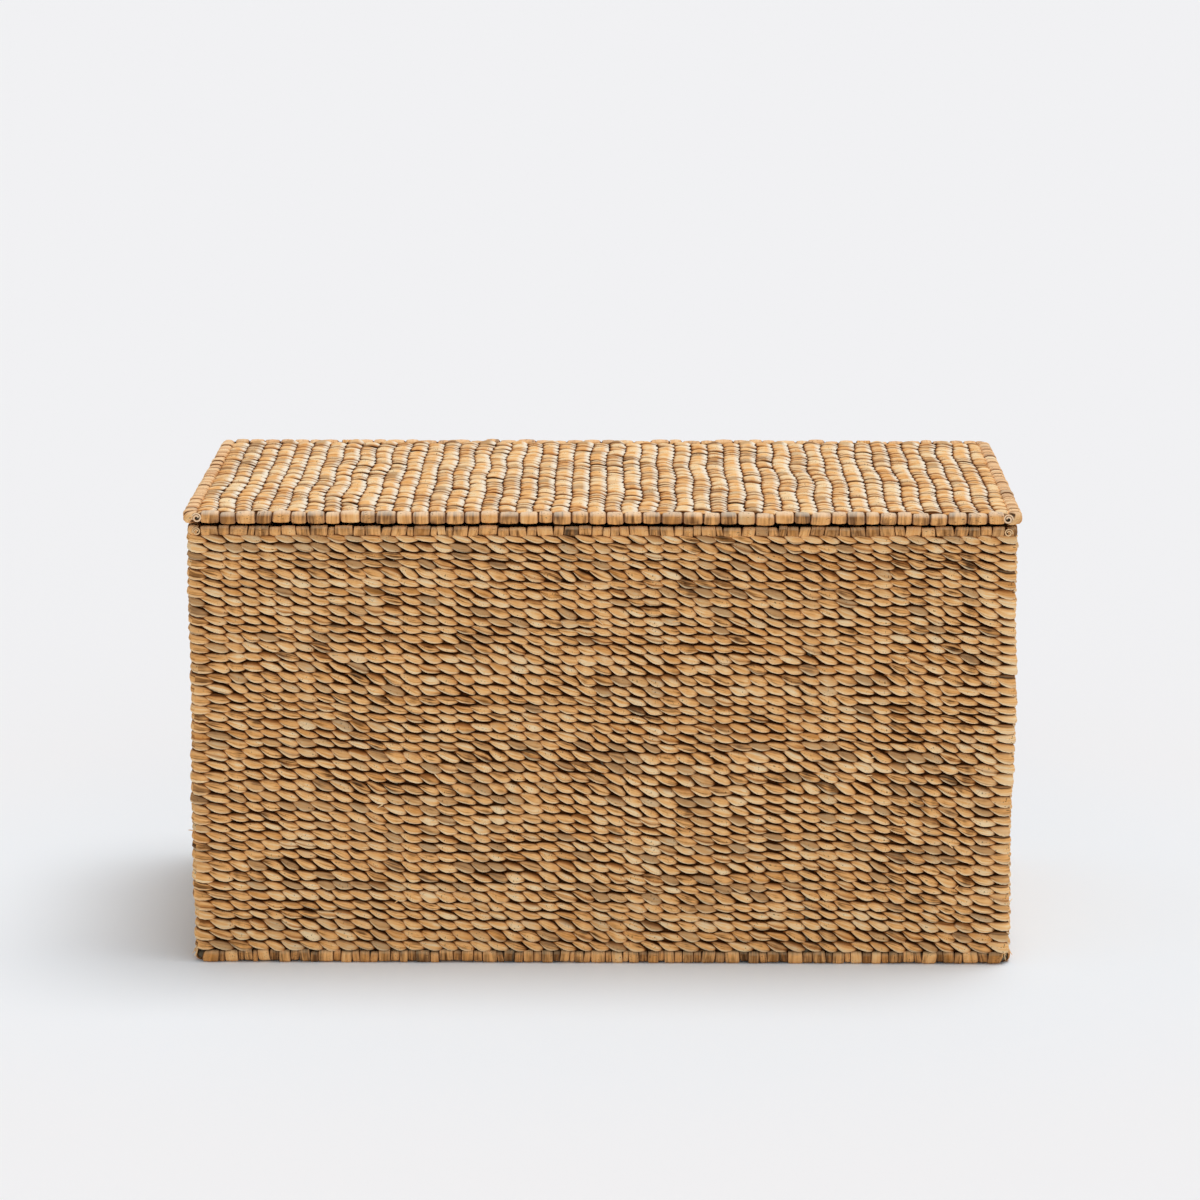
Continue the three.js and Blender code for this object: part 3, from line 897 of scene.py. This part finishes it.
def panel_strands(panel, first):
    """The shape of a panel's strands from first backwards."""

    def shape(station, side, strand):
        strand = strand + first
        at = station / panel.stations
        turn = at - 0.5 + strand
        off = turn - 2 * np.rint(turn / 2)
        stitch = np.floor(np.where(np.abs(off) < LENS_REACH, at - off, at)).astype(int).clip(0, COLUMNS)
        ends = np.clip(np.minimum(at, COLUMNS - at), 0, 1)
        swing = np.cos(math.pi * off) + ends * (PANEL_BIAS + PANEL_SKEW * np.sin(math.pi * off))
        swing = swing / np.where(swing > 0, 1 + PANEL_BIAS, 1)
        bold = np.abs(swing)
        x, y = panel.drifted(at, panel.places[strand])
        y = y + blend_stitches(panel.leans, strand, at) - ends * PANEL_SLANT * np.sin(math.pi * off)
        across, outward = round_section(side, panel.sides, PANEL_SQUARENESS)
        creased = side == panel.creases[strand, stitch]
        outward = outward - CREASE * creased
        closed = between_ends(at / COLUMNS)
        broad = PANEL_NARROW + (PANEL_PLUMP - PANEL_NARROW) * bold**PANEL_BROADEN
        half_wide = panel.rows[strand] * broad * blend_stitches(panel.sizes, strand, at) * closed
        rise = PANEL_SWING + blend_stitches(panel.lifts, strand, at)
        rise = rise * np.sign(swing) * bold**PANEL_FLATTEN + PANEL_HALF * outward * closed
        points = np.stack([x, y + half_wide * across, panel.level + rise], -1)
        # Painted shade in a notch at the left end of an arch, and a painted highlight on the fold at its
        # right end.
        notch_shade = np.clip(PLATEAU - np.abs(off - NOTCH_PLACE) / NOTCH_FADE, 0, 1) * ends
        fold = np.clip(PLATEAU - np.abs(off - TIP_HIGHLIGHT_PLACE) / TIP_HIGHLIGHT_FADE, 0, 1) * (outward > PANEL_FACE)
        groove = (panel.grooves[strand, stitch] + NOTCH_GROOVE * notch_shade) * (np.abs(across) > GROOVE_EDGE)
        groove = groove + PANEL_CREASE_SHADE * creased
        groove = np.where((swing < 0) & (outward > 0), UNDER_SHADE, groove).clip(0, DEEPEST)
        looks = {
            "tone": panel.tones[strand, stitch],
            "warmth": panel.warmths[strand, stitch],
            "height": np.clip(bold / PANEL_LIT, 0, 1) * (1 - DEEPEST * notch_shade) * (1 - groove),
            "rim": fold * ends,
        }
        return points, looks

    return shape


def panel_stakes(panel):
    """The shape of the stems that the strands go over and under."""

    def shape(station, side, strand):
        part = station / panel.strands
        x, y = panel.drifted(strand + 0.5, panel.low[1] + part * (panel.high[1] - panel.low[1]))
        across, outward = round_section(side, STAKE_SIDES, 1)
        thick = STAKE_HALF * between_ends(part)
        spread = STAKE_SPREAD * panel.pitch * across * (thick > 0)
        points = np.stack([x + spread, y, panel.level + thick * outward], -1)
        # The stems under the arches are painted half in shade.
        return points, {"tone": 0.4, "warmth": 0.0, "height": 0.5, "rim": 0.0}

    return shape


print("an arch spans two of the", COLUMNS, "columns")

# %% [markdown]
# The lid is made in two halves, again to keep each mesh light. Nobody looks closely at the floor of the
# chest, so its strands have fewer faces.

# %% Lid and floor
STRANDS = 44
LID_PARTS = 2
LID_SEED, FLOOR_SEED = 21, 31
LID_TONE, FLOOR_TONE = 0.62, 0.5


def lay_panel(label, panel, parts, finish, slot, body):
    """Lays the strands of a panel, in one part or more, and then its stakes."""
    share = panel.strands // parts
    steps = COLUMNS * panel.stations
    for number in range(parts):
        shape = panel_strands(panel, number * share)
        part = lay_strands(f"{label}_weave_{number + 1}", share, steps, panel.sides, shape, folds=2)
        dress(part, finish, slot, body, f"{label}_weave")
    shape = panel_stakes(panel)
    stems = lay_strands(f"{label}_stakes", COLUMNS, panel.strands, STAKE_SIDES, shape, girth=STAKE_GIRTH)
    dress(stems, finish, slot, body, f"{label}_weave")


lid_panel = Panel(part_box("lid_weave"), STRANDS, stations=8, sides=8, seed=LID_SEED, middle=LID_TONE)
lay_panel("lid", lid_panel, LID_PARTS, lid_strand, "lid_strand", "lid")
floor_panel = Panel(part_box("floor_weave"), STRANDS, stations=4, sides=6, seed=FLOOR_SEED, middle=FLOOR_TONE)
lay_panel("floor", floor_panel, 1, wall_strand, "wall_strand", "chest")

# %% [markdown]
# ## Bent rods
#
# Three loops of rod carry the foot, the rim and the lid. They are bare at the bends, so each is a smooth
# round tube that follows the rounded outline, at the size of its CAD node.

# %% Rod loops
ROD_SIDES = 12


def ring_outline(node, rod_half):
    """The centre line of a bent rod and its height, read from the box of its CAD node."""
    low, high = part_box(node)
    outline = Outline(high[0] - rod_half, high[1] - rod_half, BEND)
    return outline, (low[2] + high[2]) / 2


def rod_loop(node, rod_half, body):
    """A smooth rod loop in the place of a CAD node."""
    ring, level = ring_outline(node, rod_half)

    def shape(station, side, strand):
        place, facing = ring.at(ring.s[station.astype(int)])
        across, outward = round_section(side, ROD_SIDES, 1)
        points = np.stack([*(place + facing * rod_half * outward), level + rod_half * across], -1)
        return points, {"tone": 0.3, "warmth": 0.0, "height": 1.0, "rim": 0.0}

    loop = lay_strands(f"{node}_rod", 1, len(ring.s) - 1, ROD_SIDES, shape, folds=8)
    dress(loop, rod_paint, "frame_rod", body, node)
    return ring, level


base_ring, base_level = rod_loop("base_ring", rod_half=4 * MM, body="chest")
rim_ring, rim_level = rod_loop("rim_ring", rod_half=3 * MM, body="chest")
lid_ring, lid_level = rod_loop("lid_ring", rod_half=3 * MM, body="lid")

# %% [markdown]
# ## Strand wound round the rods
#
# The base, the rim and the lid's edge have strand wound round their rods, turn beside turn. On the base and
# the rim, wide raised turns and narrow sunken ones alternate. On the lid's front edge the turns are broad
# blocks, one for each column, and on its sides they are narrow and lean over, because there the weaving
# strands turn back round the rod. One record holds all that differs from edge to edge, so that one function
# can wind them all.

# %% Kinds of winding
class WoundEdge(NamedTuple):
    """How strand is wound round one ring: its turns, its section and its finish."""

    ring: Outline
    level: float
    wide: float
    narrow: float
    unequal: float
    raised: float
    half_deep: float
    half_tall: float
    shift: float
    strand_half: float
    squareness: float
    lean: float
    # Painted shade in the grooves between turns, and a painted highlight on their tops.
    groove: float
    cap: float
    tone: float
    finish: bpy.types.Material
    slot: str
    body: str


def turn_widths(length, edge):
    """Widths that fill a length, wide and narrow by turns."""
    count = max(2, 2 * round(length / (edge.wide + edge.narrow)) + 1)
    widths = np.where(np.arange(count) % 2 == 0, edge.wide, edge.narrow)
    widths = widths * (1 + edge.unequal * draw.uniform(-1, 1, count))
    return widths * length / widths.sum()


print("a winding is set by", len(WoundEdge._fields), "values")

# %% [markdown]
# One long strand per run follows the rod and circles it. It steps over to the next turn on the hidden inner
# side, so the turns look square to the rod from outside. Each turn differs a little in lift, sag and lean,
# some are stained brown and a few are grey. Painted shade darkens the sunken turns and the grooves between
# turns, and a painted highlight lightens the folds and the top of each turn.

# %% Shape of a winding
TURN_STATIONS = 16
TURN_LIFT = 0.15 * MM
TURN_SAG = 0.55 * MM
TURN_LEAN = 1.3 * MM
STEP_OVER = 0.82
WIND_SIDES = 8
SECTION_BEND = 0.85
TONE_SPREAD = 0.09
WARMTH_SPREAD = 0.28
# Sunken turns get a darker tone and more painted shade, the deeper they sink.
SUNK_TONE_SHADE = 0.2
SUNK_SHADE = 0.7
STAINED_SHARE = 0.27
STAINED_DROP = 0.15
STAINED_WARMTH = 0.4
GREY_TURNS = 0.06
GREY_TURN_SHIFT = 0.6
# How narrow the painted shade in the grooves and the painted highlight on the folds are.
GROOVE_POWER = 12
FOLD_POWER = 8
FOLD_LIGHT = 0.3
TOP_HIGHLIGHT_START, TOP_HIGHLIGHT_FADE = 0.4, 0.4


def winding(edge, start, widths):
    """The shape of a strand wound round a ring's rod from a start length, with one turn for each width."""
    section = Outline(edge.half_deep, edge.half_tall, SECTION_BEND * edge.half_tall)
    stops = start + np.concatenate([[0], np.cumsum(widths)])
    centres = (stops[:-1] + stops[1:]) / 2
    turns = len(widths)
    sunk = np.arange(turns) % 2 == 1
    wobble = draw.normal(size=(5, turns)).clip(-2, 2)
    step = edge.raised / MM
    lifts = np.where(sunk, -edge.raised, edge.raised) + TURN_LIFT * wobble[0]
    sags = TURN_SAG * wobble[1]
    leans = edge.lean + TURN_LEAN * edge.unequal * wobble[4]
    stained = draw.random(turns) < STAINED_SHARE
    grey = draw.random(turns) < GREY_TURNS
    # Sunken turns are darker as painted shade; stained and grey turns have their own colour.
    tones = edge.tone + TONE_SPREAD * wobble[2] - SUNK_TONE_SHADE * step * sunk - STAINED_DROP * stained
    warmths = WARMTH_SPREAD * wobble[3] - GREY_TURN_SHIFT * grey + STAINED_WARMTH * stained

    def shape(station, side, strand):
        at = station / TURN_STATIONS
        turn = np.minimum(np.floor(at).astype(int), turns - 1)
        part = at - turn
        later = np.minimum(turn + 1, turns - 1)
        over = np.clip((part - STEP_OVER) / (1 - STEP_OVER), 0, 1)
        over = over * over * (3 - 2 * over)

        def eased(values):
            return values[turn] * (1 - over) + values[later] * over

        closed = between_ends(at / turns)
        across, outward = round_section(side, WIND_SIDES, edge.squareness)
        (out, up), (out_turn, up_turn) = section.at(part * section.length)
        axis = eased(centres) + across * eased(widths) * 0.5 * closed + eased(leans) * up / edge.half_tall
        place, facing = edge.ring.at(axis)
        thick = eased(lifts) - edge.raised + edge.strand_half * (outward * closed - 1)
        out = out + out_turn * thick + edge.shift
        up = up + up_turn * thick + eased(sags)
        # A painted highlight on the top of each turn and on its folds, and painted shade in the grooves
        # between turns.
        cap = edge.cap * np.clip((up_turn - TOP_HIGHLIGHT_START) / TOP_HIGHLIGHT_FADE, 0, 1)
        groove = edge.groove * np.abs(across) ** GROOVE_POWER
        points = np.stack([*(place + facing * out), np.maximum(edge.level + up, 0)], -1)
        looks = {
            "tone": tones[turn],
            "warmth": warmths[turn],
            "height": (1 - groove) * (1 - SUNK_SHADE * step * sunk[turn]),
            "rim": np.maximum(FOLD_LIGHT * np.abs(across) ** FOLD_POWER, cap),
        }
        return points, looks

    return shape


print("a turn has", TURN_STATIONS, "steps along it and", WIND_SIDES, "sides")

# %% [markdown]
# Each edge has its own kind of winding. The front runs of the rim and the lid stop short of the corners, and
# the side runs go round the bends to meet them. At the foot the outermost part of each bend stays bare.

# %% Wind the base, the rim and the lid
SIDE_NAMES = ("front", "right", "back", "left")
BASE_INSET = 2.5 * MM
RIM_INSET = 7 * MM
LID_INSET = 10.5 * MM
TURN_ROUND = 5 * MM
LID_WRAP_DROP = 0.4 * MM
WIND_GIRTH = 30 * MM


def wind_run(name, edge, ends, *nodes):
    """Winds one run of a ring between two lengths along it."""
    widths = turn_widths(ends[1] - ends[0], edge)
    shape = winding(edge, ends[0], widths)
    run = lay_strands(name, 1, len(widths) * TURN_STATIONS, WIND_SIDES, shape, folds=8, girth=WIND_GIRTH)
    dress(run, edge.finish, edge.slot, edge.body, *nodes)


def side_ends(ring, number, inset):
    """The two lengths along a ring where the run on one side starts and ends."""
    return ring.corners[number] + inset, ring.corners[number + 1] - inset


base_edge = WoundEdge(
    base_ring, base_level, wide=12 * MM, narrow=7.5 * MM, unequal=0.35, raised=0.3 * MM, half_deep=6 * MM,
    half_tall=6 * MM, shift=0, strand_half=1.2 * MM, squareness=0.55, lean=0, groove=0.7, cap=0.3, tone=0.39,
    finish=wound_wall_strand, slot="wall_strand", body="chest",
)
rim_edge = base_edge._replace(
    ring=rim_ring, level=rim_level, wide=14.5 * MM, narrow=10.5 * MM, unequal=0.4, raised=0.1 * MM,
    half_deep=5 * MM, half_tall=5 * MM, strand_half=1.0 * MM, squareness=0.45, lean=0.2 * MM, groove=0.8,
    cap=0.5, tone=0.41,
)
lid_edge = WoundEdge(
    lid_ring, lid_level - LID_WRAP_DROP, wide=18.4 * MM, narrow=16 * MM, unequal=0.2, raised=0.1 * MM,
    half_deep=7.2 * MM, half_tall=5.9 * MM, shift=-1.7 * MM, strand_half=2.3 * MM, squareness=0.72, lean=0,
    groove=0.7, cap=0.5, tone=0.3, finish=wound_lid_strand, slot="lid_strand", body="lid",
)
lid_side = lid_edge._replace(
    wide=11 * MM, narrow=8 * MM, raised=0.2 * MM, strand_half=1.5 * MM, squareness=0.8, lean=3 * MM,
    groove=0.65, cap=0.25, tone=0.5,
)

for number, side_name in enumerate(SIDE_NAMES):
    ends = side_ends(base_ring, number, BASE_INSET)
    wind_run(f"base_wrap_{side_name}_1", base_edge, ends, f"base_wrap_{side_name}")
for number, side_name in enumerate(SIDE_NAMES):
    if side_name == "back":
        continue
    front = side_name == "front"
    ends = side_ends(rim_ring, number, RIM_INSET if front else -TURN_ROUND)
    wind_run(f"rim_wrap_{side_name}_1", rim_edge, ends, f"rim_wrap_{side_name}")
    ends = side_ends(lid_ring, number, LID_INSET if front else -TURN_ROUND)
    wind_run(f"lid_wrap_{side_name}_1", lid_edge if front else lid_side, ends, f"lid_wrap_{side_name}")

# %% [markdown]
# The ends of the front windings on the rim and the lid are tucked in at the corners, where each shows as a
# small curl with a dark hole. One spiral tube makes a curl. Painted shade darkens all of it but the front of
# the tube, which gets a painted highlight.

# %% Curled ends
CURL_STATIONS = 28
CURL_SIDES = 6
CURL_TURNS = 1.6
CURL_TUBE = 0.21
CURL_HOLE = 0.32
CURL_GROWTH = 0.6
CURL_PROUD = 0.6 * MM
CURL_RISE = 1.5 * MM


def curls(node, ring, inset, size):
    """Two curls on the front of a wound edge, one at each corner of its ring."""
    low, high = (np.array(corner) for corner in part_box(node))
    middle = (low[2] + high[2]) / 2

    def shape(station, side, strand):
        part = station / CURL_STATIONS
        hand = 1 - 2 * strand
        turn = 2 * math.pi * CURL_TURNS * part
        across, outward = round_section(side, CURL_SIDES, 1)
        tube = CURL_TUBE * size * between_ends(part)
        radius = size * (CURL_HOLE + CURL_GROWTH * part) + tube * across
        x = hand * (inset + radius * np.cos(turn) - ring.x.max())
        y = low[1] + CURL_PROUD - tube * outward + CURL_RISE * part
        # Painted shade on all but the front of the tube, and a painted highlight on its front.
        front = outward > 0.5
        looks = {"tone": 0.55, "warmth": 0.1, "height": 0.2 + 0.8 * front, "rim": 0.5 * front}
        return np.stack([x, y, middle + radius * np.sin(turn)], -1), looks

    return lay_strands(f"{node}_curls", 2, CURL_STATIONS, CURL_SIDES, shape, step=1 * MM, girth=6 * MM)


lid_curls = curls("lid_wrap_front", lid_ring, inset=9.5 * MM, size=5.2 * MM)
dress(lid_curls, lid_strand, "lid_strand", "lid", "lid_wrap_front")
rim_curls = curls("rim_wrap_front", rim_ring, inset=5 * MM, size=4.4 * MM)
dress(rim_curls, wall_strand, "wall_strand", "chest", "rim_wrap_front")

# %% [markdown]
# Short loose fibres stand off the walls here and there, and more of them hang over the bare bends at the
# foot. Each is a thin stem that tapers and bends away from the wall.

# %% Loose fibres
FRAYS = 60
CORNER_FRAYS = 6
CORNER_INSET = 7 * MM
FRAY_STATIONS = 5
FRAY_SIDES = 4
FRAY_MARGIN = 20 * MM
FRAY_FOOT = 2 * MM
FRAY_TILT = 0.8
FRAY_HANG = (-2.4, -0.7)
FRAY_LENGTHS_MM = (5, 11)
FRAY_TONES = (0.55, 1.0)
FRAY_LIFT = 0.15
FRAY_CURVE = 0.3
FRAY_ROOT = 4.2 * MM
FRAY_HALF = 0.75 * MM
FRAY_TAPER = 0.35 * MM

fray_along = draw.uniform(0, wall_path.length, FRAYS)
fray_level = draw.uniform(wall_low[2] + FRAY_MARGIN, wall_high[2] - FRAY_MARGIN, FRAYS)
fray_heading = draw.uniform(-FRAY_TILT, FRAY_TILT, FRAYS) + math.pi * draw.integers(0, 2, FRAYS)
bends = np.repeat(wall_path.corners[:4], CORNER_FRAYS)
fray_along = np.append(fray_along, bends + draw.uniform(-1, 1, len(bends)) * CORNER_INSET)
fray_level = np.append(fray_level, np.full(len(bends), wall_low[2] + FRAY_FOOT))
fray_heading = np.append(fray_heading, draw.uniform(*FRAY_HANG, len(bends)))
fray_count = len(fray_along)
fray_length = draw.uniform(*FRAY_LENGTHS_MM, fray_count) * MM
fray_tone = draw.uniform(*FRAY_TONES, fray_count)


def frays(station, side, strand):
    """The shape of the loose fibres."""
    part = station / FRAY_STATIONS
    place, facing = wall_path.at(fray_along[strand])
    tangent = np.stack([-facing[1], facing[0]])
    across, outward = round_section(side, FRAY_SIDES, 1)
    thick = between_ends(part) * (FRAY_HALF - FRAY_TAPER * part)
    reach = fray_length[strand] * part
    out = FRAY_ROOT + reach * (FRAY_LIFT + FRAY_CURVE * part) + thick * outward
    heading = fray_heading[strand]
    along = reach * np.cos(heading) - thick * across * np.sin(heading)
    up = reach * np.sin(heading) + thick * across * np.cos(heading)
    level = np.maximum(fray_level[strand] + up, 0)
    points = np.stack([*(place + facing * out + tangent * along), level], -1)
    return points, {"tone": fray_tone[strand], "warmth": 0.0, "height": 1.0, "rim": 0.0}


fibres = lay_strands("wall_frays", fray_count, FRAY_STATIONS, FRAY_SIDES, frays, step=2 * MM, girth=4 * MM)
dress(fibres, wall_strand, "wall_strand", "chest", "wall_weave")

# %% [markdown]
# At the back the windings leave room for the two hinges, so the rim and the lid have three short runs there.

# %% Back runs
HINGE_ROOM = 10.5 * MM
lid_back = lid_edge._replace(cap=0.2, tone=0.42)
lashings = ("hinge_lashing_1", "hinge_lashing_2")
hinge_places = [(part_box(node)[0][0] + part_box(node)[1][0]) / 2 for node in lashings]


def back_runs(ring):
    """The three runs at the back, from left to right, between the corners and the two hinges."""
    start, end = side_ends(ring, 2, CORNER_INSET)
    middle = (start + end) / 2
    stops = [start]
    for place in sorted(hinge_places, reverse=True):
        stops += [middle - place - HINGE_ROOM, middle - place + HINGE_ROOM]
    stops.append(end)
    return list(zip(stops[::2], stops[1::2]))[::-1]


for edge, label in ((rim_edge, "rim_wrap"), (lid_back, "lid_wrap")):
    for number, ends in enumerate(back_runs(edge.ring), 1):
        wind_run(f"{label}_back_{number}_1", edge, ends, f"{label}_back_{number}")

# %% [markdown]
# A hinge is nothing but strand: a few turns, side by side, round the lid's rod and the rim's rod together.
# It holds them close and still lets the lid turn about the rim's rod, so it moves with the lid.

# %% Hinge lashings
LASHING_TURNS = 4
LASHING_STATIONS = 24
LASHING_HALF = 1.1 * MM
LASHING_RADIUS = 4.4 * MM
LASHING_FLAT = 0.01 * MM
LASHING_FILL = 0.48
LASHING_SQUARENESS = 0.7


def lashing(node):
    """The shape of a hinge lashing: a flat helix round both rods."""
    low, high = (np.array(corner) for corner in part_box(node))
    rods = np.array([[rim_ring.y.max(), rim_level], [lid_ring.y.max(), lid_level]])
    middle = rods.mean(axis=0)
    upward = (rods[1] - rods[0]) / np.linalg.norm(rods[1] - rods[0])
    half_gap = np.linalg.norm(rods[1] - rods[0]) / 2
    path = Outline(LASHING_RADIUS + LASHING_FLAT, half_gap + LASHING_RADIUS, LASHING_RADIUS)
    width = (high[0] - low[0]) / LASHING_TURNS

    def shape(station, side, strand):
        at = station / LASHING_STATIONS
        closed = between_ends(at / LASHING_TURNS)
        across, outward = round_section(side, WIND_SIDES, LASHING_SQUARENESS)
        (deep, tall), (deep_turn, tall_turn) = path.at(at * path.length)
        thick = LASHING_HALF * outward * closed
        deep = deep + deep_turn * thick
        tall = tall + tall_turn * thick
        glide = at * (LASHING_TURNS - 1) / LASHING_TURNS
        x = low[0] + width * (0.5 + glide + LASHING_FILL * across * closed)
        y = middle[0] + upward[1] * deep + upward[0] * tall
        z = middle[1] - upward[0] * deep + upward[1] * tall
        # Painted shade towards the edges of each turn.
        looks = {"tone": 0.5, "warmth": 0.1, "height": 0.3 + 0.7 * (1 - np.abs(across) ** 5), "rim": 0.0}
        return np.stack([x, y, z], -1), looks

    return shape


for node in lashings:
    steps = LASHING_TURNS * LASHING_STATIONS
    band = lay_strands(f"{node}_strand", 1, steps, WIND_SIDES, lashing(node), folds=2)
    dress(band, wall_strand, "wall_strand", "lid", node)
